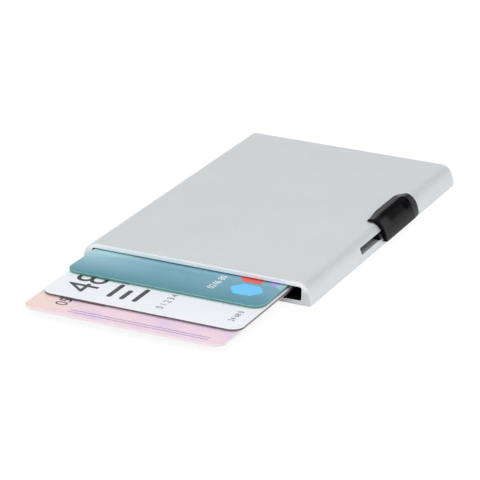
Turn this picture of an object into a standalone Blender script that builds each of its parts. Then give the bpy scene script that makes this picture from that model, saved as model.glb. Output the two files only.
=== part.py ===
"""Flat aluminium card case with a thumb slide on its side.

The case is an extruded sleeve, open at the mouth and plugged at the rear. A black thumb grip hugs
the rounded right side. Its neck passes through a slot in the side wall and clips into an arm in
the channel beside the cards. The arm carries a stepped pusher behind the cards: sliding the grip
towards the mouth pushes the cards out as a staircase.

Metres, +Z up. The origin is the centre of the flat underside, the mouth faces -Y and the grip is
on the +X side. The cards stand as fanned out by hand, with the slide at its rear stop.
"""

import math

import bmesh
import bpy
from mathutils import Matrix, Vector

# Cards of the standard bank-card size
CARD_LENGTH = 0.0856
CARD_WIDTH = 0.05398
CARD_THICKNESS = 0.00076
CARD_CORNER = 0.00318
CARD_GAP = 0.00012
CARD_PLAY = 0.00122

# Each card from the lowest up: its name, how far it stands out, and its free room on the left
CARDS = (
    ("card_bottom", 0.0383, 0.0003),
    ("card_middle", 0.0297, 0.0010),
    ("card_top", 0.0160, 0.0006),
)

# Case sleeve: walls, and the room that it keeps around the cards
FLOOR_WALL = 0.00125
ROOF_WALL = 0.00125
SIDE_WALL = 0.0028
SPRING_ROOM = 0.00083
ROOF_CLEARANCE = 0.00015
SIDE_BOW = 0.0035
SIDE_BOW_FOOT = 0.0009
FOOT_CORNER = 0.0005
BAY_CORNER = 0.0005
EDGE_BREAK = 0.00025

# Slot in the right-hand wall, and the slide that runs in it
SLOT_START = 0.0335
SLOT_HEIGHT = 0.00165
SLOT_RISE = 0.0003
SLOT_CORNER = 0.0003
SLIDE_TRAVEL = 0.0116
STOP_GAP = 0.0003
NECK_LENGTH = 0.0193
NECK_LEAD = 0.0025
NECK_CLEARANCE = 0.0002
NECK_BITE = 0.00025

# Thumb grip
GRIP_LENGTH = 0.0243
GRIP_CLEARANCE = 0.0002
GRIP_FLANGE = 0.0020
GRIP_FLANGE_CUT = 0.0008
GRIP_FOOT = 0.0011
GRIP_LIP = 0.00045
GRIP_CROWN = 0.00095
GRIP_SIDE = 0.0009
GRIP_HOLLOW = 0.0005
GRIP_REAR_BEVEL = 0.0022
GRIP_REAR_DROP = 0.00022
GRIP_REAR_CORNER = 0.0034
GRIP_FOOT_CORNER = 0.0010
GRIP_FOOT_RISE_SHARE = 0.5
GRIP_EDGE_ROUND = 0.00028
PEG_RADIUS = 0.0005
PEG_LENGTH = 0.0013
PEG_INSET = 0.0030
PEG_CLEARANCE = 0.00012

# Where the grip's wall changes: shares of its girth from the top border to the foot
CROWN_END_SHARE = 0.42
SIDE_START_SHARE = 0.50
SIDE_RUN_SHARE = 0.40
HOLLOW_MIDDLE_SHARE = 0.50
HOLLOW_SPREAD_SHARE = 0.21

# The same along it: shares of its length from the front end
FLANGE_CUT_SHARE = 0.35
HOLLOW_RISE_SHARE = 0.40
HOLLOW_LEAD_SHARE = 0.10
HOLLOW_END_SHARE = 0.93
HOLLOW_FALL_SHARE = 0.20

# Lane guide: the strip that parts the cards from the arm's channel
GUIDE_WALL = 0.0005
GUIDE_FOOT = 0.00030
GUIDE_SEAT = 0.00008
GUIDE_START = 0.0105
GUIDE_ROOF_GAP = 0.00025

# Arm in the channel
ARM_WIDTH = 0.0022
ARM_CLEARANCE = 0.00025
ARM_LEAD = 0.0101
ARM_NOSE = 0.0006
LAP_LENGTH = 0.0078
LAP_GAP = 0.00012
PIN_RADIUS = 0.00045
PIN_CLEARANCE = 0.0001
PIN_INSET = 0.0020
PIN_END_GAP = 0.00025

# Friction leaf in the arm's flank
LEAF_LENGTH = 0.0130
LEAF_HEIGHT = 0.0015
LEAF_THICKNESS = 0.00015
LEAF_BOW = 0.00042
LEAF_POCKET = 0.0006
LEAF_MARGIN = 0.0003
LEAF_LEAD = 0.0040
LEAF_WALL_GAP = 0.00012

# Stepped pusher
STEP_DEPTH = 0.0024
PUSHER_WEB = 0.0025
PUSHER_CLEARANCE = 0.0002
PUSHER_SIDE_GAP = 0.0003
PUSHER_REAR_GAP = 0.0004
SEAT_GAP = 0.0003
FRONT_MARGIN = 0.0006
CORE_COUNT = 5
CORE_WALL = 0.0011
CORE_DEPTH = 0.0040
CORE_SKIN = 0.0007

# Card spring under the stack
SPRING_WIDTH = 0.0100
SPRING_THICKNESS = 0.0002
SPRING_SEAT = 0.0001
SPRING_START = 0.0120
SPRING_BOW_LENGTH = 0.0540
SPRING_CARD_GAP = 0.0001
SPRING_TOE = 0.0030
SPRING_GROOVE_SIDE = 0.0003
SPRING_GROOVE_ROOM = 0.00025
SPRING_TAIL_BITE = 0.0015

# Rear plug and its two screws from below
PLUG_LENGTH = 0.0041
PLUG_RECESS = 0.0003
PLUG_FIT = 0.0001
PLUG_FRONT_EDGE = 0.0004
PLUG_REAR_EDGE = 0.0002
SCREW_SIDE_INSET = 0.0092
SCREW_REAR_INSET = 0.0021
SCREW_RADIUS = 0.0006
SCREW_LENGTH = 0.0030
SCREW_HEAD_RADIUS = 0.0012
SCREW_HEAD_DEPTH = 0.0006
SCREW_SUNK = 0.0001
SCREW_CLEARANCE = 0.00012
RECESS_RADIUS = 0.0006
RECESS_WING = 0.0002
RECESS_DEPTH = 0.00035

# How far a cutter runs past what it cuts
OVERRUN = 0.0010

# Fineness of arcs and lofts
ARC_STEPS = 4
BOW_STEPS = 12
CARD_ARC_STEPS = 8
ROUND_SIDES = 20
SPRING_STEPS = 24
GRIP_PATH_STEPS = 22
GRIP_LENGTH_STEPS = 20
SMOOTH_ANGLE = math.radians(32)

# Worked out from the sizes above
CARD_COUNT = len(CARDS)
LEVEL_COUNT = CARD_COUNT + 1
LEVEL_PITCH = CARD_THICKNESS + CARD_GAP
LANE_WIDTH = CARD_WIDTH + CARD_PLAY
CHANNEL_WIDTH = GUIDE_WALL + ARM_WIDTH + 2 * ARM_CLEARANCE
BAY_WIDTH = LANE_WIDTH + CHANNEL_WIDTH
BAY_HEIGHT = SPRING_ROOM + CARD_COUNT * LEVEL_PITCH - CARD_GAP + ROOF_CLEARANCE
BAY_TOP = FLOOR_WALL + BAY_HEIGHT
CASE_WIDTH = BAY_WIDTH + 2 * SIDE_WALL
CASE_HEIGHT = BAY_TOP + ROOF_WALL
HALF_WIDTH = CASE_WIDTH / 2
PUSHER_FACE = FRONT_MARGIN + CARD_LENGTH + SEAT_GAP
PUSHER_REAR = PUSHER_FACE + (LEVEL_COUNT - 1) * STEP_DEPTH + PUSHER_WEB
PLUG_FACE = PUSHER_REAR + PUSHER_REAR_GAP
CASE_LENGTH = PLUG_FACE + PLUG_LENGTH + PLUG_RECESS
MOUTH = -CASE_LENGTH / 2
BAY_LEFT = -BAY_WIDTH / 2
BAY_RIGHT = BAY_WIDTH / 2
GUIDE_LEFT = BAY_LEFT + LANE_WIDTH
ARM_RIGHT = BAY_RIGHT - ARM_CLEARANCE
ARM_LEFT = ARM_RIGHT - ARM_WIDTH
ARM_FRONT = SLOT_START + SLIDE_TRAVEL - ARM_LEAD
ARM_FOOT = FLOOR_WALL + GUIDE_SEAT + GUIDE_FOOT + ARM_CLEARANCE
ARM_TOP = BAY_TOP - ARM_CLEARANCE
LAP_FRONT = PUSHER_REAR - LAP_LENGTH
LAP_HEIGHT = (ARM_FOOT + ARM_TOP) / 2
PIN_X = (ARM_LEFT + ARM_RIGHT) / 2
SLOT_MIDDLE = CASE_HEIGHT / 2 + SLOT_RISE
SLOT_LENGTH = SLIDE_TRAVEL + NECK_LENGTH + 2 * STOP_GAP
NECK_START = SLOT_START + STOP_GAP + SLIDE_TRAVEL
GRIP_START = NECK_START + NECK_LEAD
LANE_MIDDLE = BAY_LEFT + LANE_WIDTH / 2


def clear_scene():
    """Empty the scene that the script is run in."""
    for leftover in list(bpy.data.objects):
        bpy.data.objects.remove(leftover, do_unlink=True)


def make_material(name, colour, roughness, metallic=0.0):
    """A Principled material in one linear colour."""
    material = bpy.data.materials.new(name)
    material.use_nodes = True
    shader = material.node_tree.nodes["Principled BSDF"]
    shader.inputs["Base Color"].default_value = (*colour, 1.0)
    shader.inputs["Roughness"].default_value = roughness
    shader.inputs["Metallic"].default_value = metallic
    return material


def make_axis(name, place):
    """An empty on a slide's axis, which carries the pieces that slide."""
    empty = bpy.data.objects.new(name, None)
    empty.location = place
    empty.empty_display_size = NECK_LENGTH
    bpy.context.collection.objects.link(empty)
    return empty


def add_object(name, shape, material, axis=None):
    """Turn a finished bmesh, in world places, into a named object, carried by its axis."""
    bmesh.ops.recalc_face_normals(shape, faces=shape.faces)
    mesh = bpy.data.meshes.new(name)
    shape.to_mesh(mesh)
    shape.free()
    piece = bpy.data.objects.new(name, mesh)
    bpy.context.collection.objects.link(piece)
    if axis is not None:
        mesh.transform(Matrix.Translation(-axis.location))
        piece.parent = axis
    if material is not None:
        mesh.materials.append(material)
    mesh.shade_smooth()
    mesh.set_sharp_from_angle(angle=SMOOTH_ANGLE)
    return piece


def boolean(piece, name, shape, operation="DIFFERENCE"):
    """Cut a shape out of a piece, or join it on; the tool stays in the file as a wire guide."""
    tool = add_object(name, shape, None, piece.parent)
    tool.hide_render = True
    tool.display_type = "WIRE"
    modifier = piece.modifiers.new(name, "BOOLEAN")
    modifier.operation = operation
    modifier.solver = "EXACT"
    modifier.object = tool


def loft(rings, capped=True):
    """Skin a list of closed rings, each with the same count of points."""
    shape = bmesh.new()
    skins = [[shape.verts.new(point) for point in ring] for ring in rings]
    count = len(skins[0])
    for near, far in zip(skins, skins[1:]):
        for index in range(count):
            after = (index + 1) % count
            shape.faces.new((near[index], near[after], far[after], far[index]))
    if capped:
        shape.faces.new(list(reversed(skins[0])))
        shape.faces.new(skins[-1])
    return shape


def arc(middle, radii, start, stop, steps):
    """Points of an elliptic arc in a plane, from one angle in degrees to another."""
    points = []
    for index in range(steps + 1):
        angle = math.radians(start + (stop - start) * index / steps)
        along = middle[0] + radii[0] * math.cos(angle)
        across = middle[1] + radii[1] * math.sin(angle)
        points.append((along, across))
    return points


def rounded_rectangle(low, high, radius, steps=ARC_STEPS):
    """A rectangle with round corners, as points that run anticlockwise."""
    points = []
    corners = ((high[0], low[1], -90), (high[0], high[1], 0), (low[0], high[1], 90),
               (low[0], low[1], 180))
    for along, across, start in corners:
        inward_along = -radius if along == high[0] else radius
        inward_across = -radius if across == high[1] else radius
        middle = (along + inward_along, across + inward_across)
        points += arc(middle, (radius, radius), start, start + 90, steps)
    return points


def block(low, high):
    """A plain box between two corners."""
    bottom = ((low[0], low[1]), (high[0], low[1]), (high[0], high[1]), (low[0], high[1]))
    return loft([[Vector((x, y, z)) for x, y in bottom] for z in (low[2], high[2])])


def along_y(points, y):
    """Points of an upright section, placed at one distance along the case."""
    return [Vector((x, y, z)) for x, z in points]


def cylinder(start, direction, length, radius):
    """A round bar from a point, along a direction."""
    return turned(start, direction, ((0, radius), (length, radius)))


def turned(start, direction, profile):
    """A turned piece from its profile, a list of distances along its axis and radii."""
    direction = Vector(direction)
    side = direction.orthogonal().normalized()
    other = direction.cross(side)
    rings = []
    for distance, radius in profile:
        centre = Vector(start) + direction * distance
        ring = []
        for index in range(ROUND_SIDES):
            angle = math.tau * index / ROUND_SIDES
            ring.append(centre + (side * math.cos(angle) + other * math.sin(angle)) * radius)
        rings.append(ring)
    return loft(rings)


def edge_stations(width):
    """Depth and inset along a rounded edge, from its end face to its full size."""
    stations = []
    for index in range(ARC_STEPS):
        angle = math.pi / 2 * index / (ARC_STEPS - 1)
        stations.append((width * (1 - math.cos(angle)), width * (1 - math.sin(angle))))
    return stations


def case_section(inset):
    """The sleeve's outline: flat below, sides that bow in to a narrower flat top."""
    half = HALF_WIDTH - inset
    corner = (half - FOOT_CORNER, inset + FOOT_CORNER)
    right = arc(corner, (FOOT_CORNER, FOOT_CORNER), -90, 0, ARC_STEPS)
    bow_height = CASE_HEIGHT - inset - SIDE_BOW_FOOT
    right += arc((half - SIDE_BOW, SIDE_BOW_FOOT), (SIDE_BOW, bow_height), 0, 90, BOW_STEPS)
    left = [(-x, z) for x, z in reversed(right)]
    return right + left


def bay_section(grow):
    """The inside of the sleeve, grown outwards, or shrunk where the value is negative."""
    low = (BAY_LEFT - grow, FLOOR_WALL - grow)
    high = (BAY_RIGHT + grow, BAY_TOP + grow)
    return rounded_rectangle(low, high, BAY_CORNER + max(grow, 0))


def make_case_sleeve(material):
    """Extruded sleeve: outline, bay, slot in the right wall and two countersunk holes below."""
    rear = -MOUTH
    rings = [along_y(case_section(inset), MOUTH + depth)
             for depth, inset in edge_stations(EDGE_BREAK)]
    rings += [along_y(case_section(inset), rear - depth)
              for depth, inset in reversed(edge_stations(EDGE_BREAK))]
    sleeve = add_object("case_sleeve", loft(rings), material)

    flare = [along_y(bay_section(EDGE_BREAK + OVERRUN), MOUTH - OVERRUN)]
    flare += [along_y(bay_section(inset), MOUTH + depth)
              for depth, inset in edge_stations(EDGE_BREAK)]
    flare += [along_y(bay_section(inset), rear - depth)
              for depth, inset in reversed(edge_stations(EDGE_BREAK))]
    flare.append(along_y(bay_section(EDGE_BREAK + OVERRUN), rear + OVERRUN))
    boolean(sleeve, "cut_bay", loft(flare))

    low = (MOUTH + SLOT_START, SLOT_MIDDLE - SLOT_HEIGHT / 2)
    high = (low[0] + SLOT_LENGTH, SLOT_MIDDLE + SLOT_HEIGHT / 2)
    outline = rounded_rectangle(low, high, SLOT_CORNER)
    slot_ends = (BAY_RIGHT - OVERRUN, HALF_WIDTH + OVERRUN)
    boolean(sleeve, "cut_slot", loft([[Vector((x, y, z)) for y, z in outline] for x in slot_ends]))

    for side, place in screw_places():
        seat = screw_profile(SCREW_CLEARANCE)
        widest = seat[0][1]
        profile = [(-OVERRUN, widest), *seat]
        boolean(sleeve, f"cut_screw_{side}", turned(place, (0, 0, 1), profile))
    return sleeve


def screw_places():
    """The two screws' sides, and the points where their axes meet the underside."""
    y = -MOUTH - SCREW_REAR_INSET
    return (("left", (BAY_LEFT + SCREW_SIDE_INSET, y, 0)),
            ("right", (BAY_RIGHT - SCREW_SIDE_INSET, y, 0)))


def screw_profile(grow):
    """A countersunk screw from the underside up: head, cone and shank."""
    sunk = SCREW_SUNK - grow
    return ((max(sunk, 0), SCREW_HEAD_RADIUS + grow),
            (SCREW_SUNK + SCREW_HEAD_DEPTH, SCREW_RADIUS + grow),
            (SCREW_SUNK + SCREW_LENGTH + grow, SCREW_RADIUS + grow))


def make_screw(side, place, material):
    """A small countersunk screw with a cross recess."""
    screw = add_object(f"plug_screw_{side}", turned(place, (0, 0, 1), screw_profile(0)), material)
    bottom = Vector(place) + Vector((0, 0, SCREW_SUNK - OVERRUN))
    reach = OVERRUN + RECESS_DEPTH
    for name, half in (("x", (RECESS_RADIUS, RECESS_WING)), ("y", (RECESS_WING, RECESS_RADIUS))):
        low = bottom - Vector((half[0], half[1], 0))
        high = bottom + Vector((half[0], half[1], reach))
        boolean(screw, f"cut_recess_{side}_{name}", block(low, high))
    return screw


def spring_tail_groove(y_low, y_high):
    """The room that the spring's flat tail needs in whatever lies over it."""
    half = SPRING_WIDTH / 2 + SPRING_GROOVE_SIDE
    top = FLOOR_WALL + SPRING_SEAT + SPRING_THICKNESS + SPRING_GROOVE_ROOM
    low = (LANE_MIDDLE - half, y_low, FLOOR_WALL - OVERRUN)
    high = (LANE_MIDDLE + half, y_high, top)
    return block(low, high)


def make_rear_plug(material):
    """Moulded plug that closes the rear, with chamfered ends and a groove for the spring."""
    face = MOUTH + PLUG_FACE
    rear = face + PLUG_LENGTH
    rings = [along_y(bay_section(-PLUG_FIT - PLUG_FRONT_EDGE), face),
             along_y(bay_section(-PLUG_FIT), face + PLUG_FRONT_EDGE),
             along_y(bay_section(-PLUG_FIT), rear - PLUG_REAR_EDGE),
             along_y(bay_section(-PLUG_FIT - PLUG_REAR_EDGE), rear)]
    plug = add_object("rear_plug", loft(rings), material)
    boolean(plug, "cut_plug_groove",
            spring_tail_groove(face - OVERRUN, face + SPRING_TAIL_BITE + SPRING_GROOVE_SIDE))
    for side, place in screw_places():
        radius = SCREW_RADIUS + SCREW_CLEARANCE
        length = SCREW_SUNK + SCREW_LENGTH + SCREW_CLEARANCE
        boolean(plug, f"cut_plug_hole_{side}", cylinder(place, (0, 0, 1), length, radius))
    return plug


def make_lane_guide(material):
    """L-shaped strip on the floor: its wall keeps the cards off the arm, its foot carries it."""
    foot = FLOOR_WALL + GUIDE_SEAT
    floor_top = foot + GUIDE_FOOT
    right = BAY_RIGHT - BAY_CORNER
    section = ((GUIDE_LEFT, foot), (right, foot), (right, floor_top),
               (GUIDE_LEFT + GUIDE_WALL, floor_top),
               (GUIDE_LEFT + GUIDE_WALL, BAY_TOP - GUIDE_ROOF_GAP),
               (GUIDE_LEFT, BAY_TOP - GUIDE_ROOF_GAP))
    start = MOUTH + GUIDE_START
    rear = MOUTH + PLUG_FACE - GUIDE_SEAT
    guide = add_object("lane_guide", loft([along_y(section, start), along_y(section, rear)]),
                       material)
    wall_end = MOUTH + LAP_FRONT - SLIDE_TRAVEL - SEAT_GAP
    low = (GUIDE_LEFT - OVERRUN, wall_end, floor_top)
    high = (GUIDE_LEFT + GUIDE_WALL + OVERRUN, rear + OVERRUN, BAY_TOP + OVERRUN)
    boolean(guide, "cut_guide_wall", block(low, high))
    return guide


def spring_height(share):
    """How high the spring's underside lies over its seat, along its bow."""
    rise = SPRING_ROOM - SPRING_SEAT - SPRING_THICKNESS - SPRING_CARD_GAP
    return rise * math.sin(math.pi * share) ** 2


def make_card_spring(material):
    """Flat strip of spring steel: a long low bow under the cards and a tail under the plug."""
    seat = FLOOR_WALL + SPRING_SEAT
    path = [(MOUTH + SPRING_START - SPRING_TOE, seat)]
    for index in range(SPRING_STEPS + 1):
        share = index / SPRING_STEPS
        y = MOUTH + SPRING_START + SPRING_BOW_LENGTH * share
        path.append((y, seat + spring_height(share)))
    path.append((MOUTH + PLUG_FACE + SPRING_TAIL_BITE, seat))
    half = SPRING_WIDTH / 2
    rings = []
    for y, z in path:
        top = z + SPRING_THICKNESS
        rings.append([Vector((LANE_MIDDLE - half, y, z)), Vector((LANE_MIDDLE + half, y, z)),
                      Vector((LANE_MIDDLE + half, y, top)), Vector((LANE_MIDDLE - half, y, top))])
    return add_object("card_spring", loft(rings), material)


def grip_path(distance):
    """Point and outward direction on the case's side, by distance from where its top ends."""
    bow_height = CASE_HEIGHT - SIDE_BOW_FOOT
    length = bow_length()
    if distance <= 0:
        return (HALF_WIDTH - SIDE_BOW + distance, CASE_HEIGHT), (0.0, 1.0)
    if distance >= length:
        return (HALF_WIDTH, SIDE_BOW_FOOT - (distance - length)), (1.0, 0.0)
    angle = math.pi / 2 * (1 - distance / length)
    point = (HALF_WIDTH - SIDE_BOW + SIDE_BOW * math.cos(angle),
             SIDE_BOW_FOOT + bow_height * math.sin(angle))
    normal = Vector((math.cos(angle) * bow_height, math.sin(angle) * SIDE_BOW)).normalized()
    return point, (normal.x, normal.y)


def path_distance(height):
    """How far down the case's side a height lies, from where the top ends."""
    if height <= SIDE_BOW_FOOT:
        return bow_length() + SIDE_BOW_FOOT - height
    rise_share = (height - SIDE_BOW_FOOT) / (CASE_HEIGHT - SIDE_BOW_FOOT)
    return bow_length() * (1 - 2 * math.asin(rise_share) / math.pi)


def bow_length():
    """Length of the quarter ellipse of the case's side."""
    bow_height = CASE_HEIGHT - SIDE_BOW_FOOT
    return math.pi / 2 * math.sqrt((SIDE_BOW ** 2 + bow_height ** 2) / 2)


def ease(value):
    """Rise smoothly from 0 to 1."""
    value = min(max(value, 0.0), 1.0)
    return value * value * (3 - 2 * value)


def corner_inset(distance, radius):
    """How far a border draws in at a round corner, by distance from the end."""
    if distance >= radius:
        return 0.0
    return radius - math.sqrt(radius ** 2 - (radius - distance) ** 2)


def stations(length, steps):
    """Distances along a length, closer together over the rounded edge at each end."""
    ends = [depth for depth, _ in edge_stations(GRIP_EDGE_ROUND)]
    inner = length - 2 * GRIP_EDGE_ROUND
    middle = [GRIP_EDGE_ROUND + inner * index / steps for index in range(1, steps)]
    return ends + middle + [length - depth for depth in reversed(ends)]


def edge_drop(distance, length):
    """How much the outer face falls away over the rounded edge at either end."""
    near = min(distance, length - distance)
    if near >= GRIP_EDGE_ROUND:
        return 0.0
    return corner_inset(near, GRIP_EDGE_ROUND)


def grip_thickness(path_share, length_share):
    """The grip's wall: thin lip on the top, full crown, a finger hollow and a rear bevel."""
    crown = GRIP_LIP + (GRIP_CROWN - GRIP_LIP) * ease(path_share / CROWN_END_SHARE)
    down_side = ease((path_share - SIDE_START_SHARE) / SIDE_RUN_SHARE)
    wall = crown + (GRIP_SIDE - GRIP_CROWN) * down_side
    across = math.exp(-((path_share - HOLLOW_MIDDLE_SHARE) / HOLLOW_SPREAD_SHARE) ** 2)
    along = (ease((length_share + HOLLOW_LEAD_SHARE) / HOLLOW_RISE_SHARE)
             * ease((HOLLOW_END_SHARE - length_share) / HOLLOW_FALL_SHARE))
    bevel_share = GRIP_REAR_BEVEL / GRIP_LENGTH
    rear_drop = GRIP_REAR_DROP * max(0.0, 1 - (1 - length_share) / bevel_share)
    return wall - GRIP_HOLLOW * across * along - rear_drop


def make_thumb_grip(material, axis):
    """C-shaped shell round the case's side, lofted along it, with its neck and two pegs."""
    start = MOUTH + GRIP_START
    foot_end = path_distance(GRIP_FOOT)
    inner_rings = []
    outer_rings = []
    for y in stations(GRIP_LENGTH, GRIP_LENGTH_STEPS):
        length_share = y / GRIP_LENGTH
        cut = GRIP_FLANGE_CUT * (1 - ease(length_share / FLANGE_CUT_SHARE))
        top_border = -GRIP_FLANGE + cut + corner_inset(GRIP_LENGTH - y, GRIP_REAR_CORNER)
        nearest_end = min(y, GRIP_LENGTH - y)
        foot_rise = corner_inset(nearest_end, GRIP_FOOT_CORNER) * GRIP_FOOT_RISE_SHARE
        foot_border = foot_end - foot_rise
        width = foot_border - top_border
        inner = []
        outer = []
        for distance in stations(width, GRIP_PATH_STEPS):
            place = top_border + distance
            path_share = (place + GRIP_FLANGE) / (foot_end + GRIP_FLANGE)
            point, normal = grip_path(place)
            drop = max(edge_drop(distance, width), edge_drop(y, GRIP_LENGTH))
            reach = GRIP_CLEARANCE + grip_thickness(path_share, length_share) - drop
            inner.append(Vector((point[0] + normal[0] * GRIP_CLEARANCE, start + y,
                                 point[1] + normal[1] * GRIP_CLEARANCE)))
            outer.append(Vector((point[0] + normal[0] * reach, start + y,
                                 point[1] + normal[1] * reach)))
        inner_rings.append(inner)
        outer_rings.append(outer)
    rings = [outer + list(reversed(inner)) for outer, inner in zip(outer_rings, inner_rings)]
    shape = loft(rings, capped=False)
    shape.verts.ensure_lookup_table()
    close_shell_end(shape, 0, len(rings[0]))
    close_shell_end(shape, (len(rings) - 1) * len(rings[0]), len(rings[0]))
    grip = add_object("thumb_grip", shape, material, axis)
    boolean(grip, "join_neck", grip_neck(), "UNION")
    peg_start = ARM_RIGHT + LAP_GAP + OVERRUN
    for name, y in peg_places():
        peg = cylinder((peg_start, y, SLOT_MIDDLE), (-1, 0, 0), PEG_LENGTH + OVERRUN, PEG_RADIUS)
        boolean(grip, f"join_peg_{name}", peg, "UNION")
    return grip


def close_shell_end(shape, first, count):
    """Close one end of the shell with a strip between its outer and inner edges."""
    for index in range(count // 2 - 1):
        corners = (first + index, first + index + 1,
                   first + count - 2 - index, first + count - 1 - index)
        shape.faces.new([shape.verts[corner] for corner in corners])


def side_reach(height):
    """How far out the case's bowed side lies at a height."""
    bow_height = CASE_HEIGHT - SIDE_BOW_FOOT
    share = max(height - SIDE_BOW_FOOT, 0) / bow_height
    return HALF_WIDTH - SIDE_BOW + SIDE_BOW * math.sqrt(1 - share ** 2)


def grip_neck():
    """The bar through the slot, rooted in the shell and ending just short of the arm."""
    low = SLOT_MIDDLE - SLOT_HEIGHT / 2 + NECK_CLEARANCE
    high = SLOT_MIDDLE + SLOT_HEIGHT / 2 - NECK_CLEARANCE
    inner = ARM_RIGHT + LAP_GAP
    root = GRIP_CLEARANCE + NECK_BITE
    section = ((inner, low), (side_reach(low) + root, low), (side_reach(high) + root, high),
               (inner, high))
    near = MOUTH + NECK_START
    return loft([along_y(section, near), along_y(section, near + NECK_LENGTH)])


def peg_places():
    """Where the neck's two pegs enter the arm."""
    near = MOUTH + NECK_START
    return (("front", near + PEG_INSET), ("rear", near + NECK_LENGTH - PEG_INSET))


def pin_places():
    """Where the two pins of the lap joint stand."""
    near = MOUTH + LAP_FRONT
    return (("front", near + PIN_INSET), ("rear", near + LAP_LENGTH - PIN_INSET))


def make_pusher_arm(material, axis):
    """Bar in the channel: round nose, peg sockets, a pocket for the leaf and a half lap."""
    near = MOUTH + ARM_FRONT
    rear = MOUTH + PUSHER_REAR
    outline = arc((ARM_RIGHT - ARM_NOSE, near + ARM_NOSE), (ARM_NOSE, ARM_NOSE), -90, 0, ARC_STEPS)
    outline += [(ARM_RIGHT, rear), (ARM_LEFT, rear)]
    outline += arc((ARM_LEFT + ARM_NOSE, near + ARM_NOSE), (ARM_NOSE, ARM_NOSE), 180, 270,
                   ARC_STEPS)
    shape = loft([[Vector((x, y, z)) for x, y in outline] for z in (ARM_FOOT, ARM_TOP)])
    arm = add_object("pusher_arm", shape, material, axis)

    lap_low = (ARM_LEFT - OVERRUN, MOUTH + LAP_FRONT - LAP_GAP, LAP_HEIGHT - LAP_GAP)
    lap_high = (ARM_RIGHT + OVERRUN, rear + OVERRUN, ARM_TOP + OVERRUN)
    boolean(arm, "cut_arm_lap", block(lap_low, lap_high))

    pocket_near = near + LEAF_LEAD
    half = LEAF_HEIGHT / 2 + LEAF_MARGIN
    middle = (ARM_FOOT + ARM_TOP) / 2
    pocket_low = (ARM_LEFT - OVERRUN, pocket_near, middle - half)
    pocket_high = (ARM_LEFT + LEAF_POCKET, pocket_near + LEAF_LENGTH + 2 * LEAF_MARGIN,
                   middle + half)
    boolean(arm, "cut_leaf_pocket", block(pocket_low, pocket_high))

    for name, y in peg_places():
        start = (ARM_RIGHT + OVERRUN, y, SLOT_MIDDLE)
        depth = OVERRUN + PEG_LENGTH
        socket = cylinder(start, (-1, 0, 0), depth, PEG_RADIUS + PEG_CLEARANCE)
        boolean(arm, f"cut_socket_{name}", socket)
    for name, y in pin_places():
        start = (PIN_X, y, ARM_FOOT - OVERRUN)
        length = ARM_TOP - ARM_FOOT + 2 * OVERRUN
        hole = cylinder(start, (0, 0, 1), length, PIN_RADIUS + PIN_CLEARANCE)
        boolean(arm, f"cut_arm_pin_{name}", hole)
    return arm


def make_arm_pin(name, y, material, axis):
    """Steel pin that holds the half lap together."""
    foot = ARM_FOOT + PIN_END_GAP
    length = ARM_TOP - ARM_FOOT - 2 * PIN_END_GAP
    shape = cylinder((PIN_X, y, foot), (0, 0, 1), length, PIN_RADIUS)
    return add_object(f"lap_pin_{name}", shape, material, axis)


def make_friction_leaf(material, axis):
    """Bowed steel leaf in the arm's flank: it rubs on the guide and keeps the slide where put."""
    crown = GUIDE_LEFT + GUIDE_WALL + LEAF_WALL_GAP
    near = MOUTH + ARM_FRONT + LEAF_LEAD + LEAF_MARGIN
    middle = (ARM_FOOT + ARM_TOP) / 2
    half = LEAF_HEIGHT / 2
    rings = []
    for index in range(BOW_STEPS + 1):
        share = index / BOW_STEPS
        x = crown + LEAF_BOW * (2 * share - 1) ** 2
        y = near + LEAF_LENGTH * share
        rings.append([Vector((x, y, middle - half)),
                      Vector((x + LEAF_THICKNESS, y, middle - half)),
                      Vector((x + LEAF_THICKNESS, y, middle + half)),
                      Vector((x, y, middle + half))])
    return add_object("friction_leaf", loft(rings), material, axis)


def level_top(level):
    """Height of the top of one step of the pusher, counted from the lowest."""
    if level == LEVEL_COUNT - 1:
        return BAY_TOP - PUSHER_CLEARANCE
    return FLOOR_WALL + SPRING_ROOM - CARD_GAP / 2 + level * LEVEL_PITCH


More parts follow.
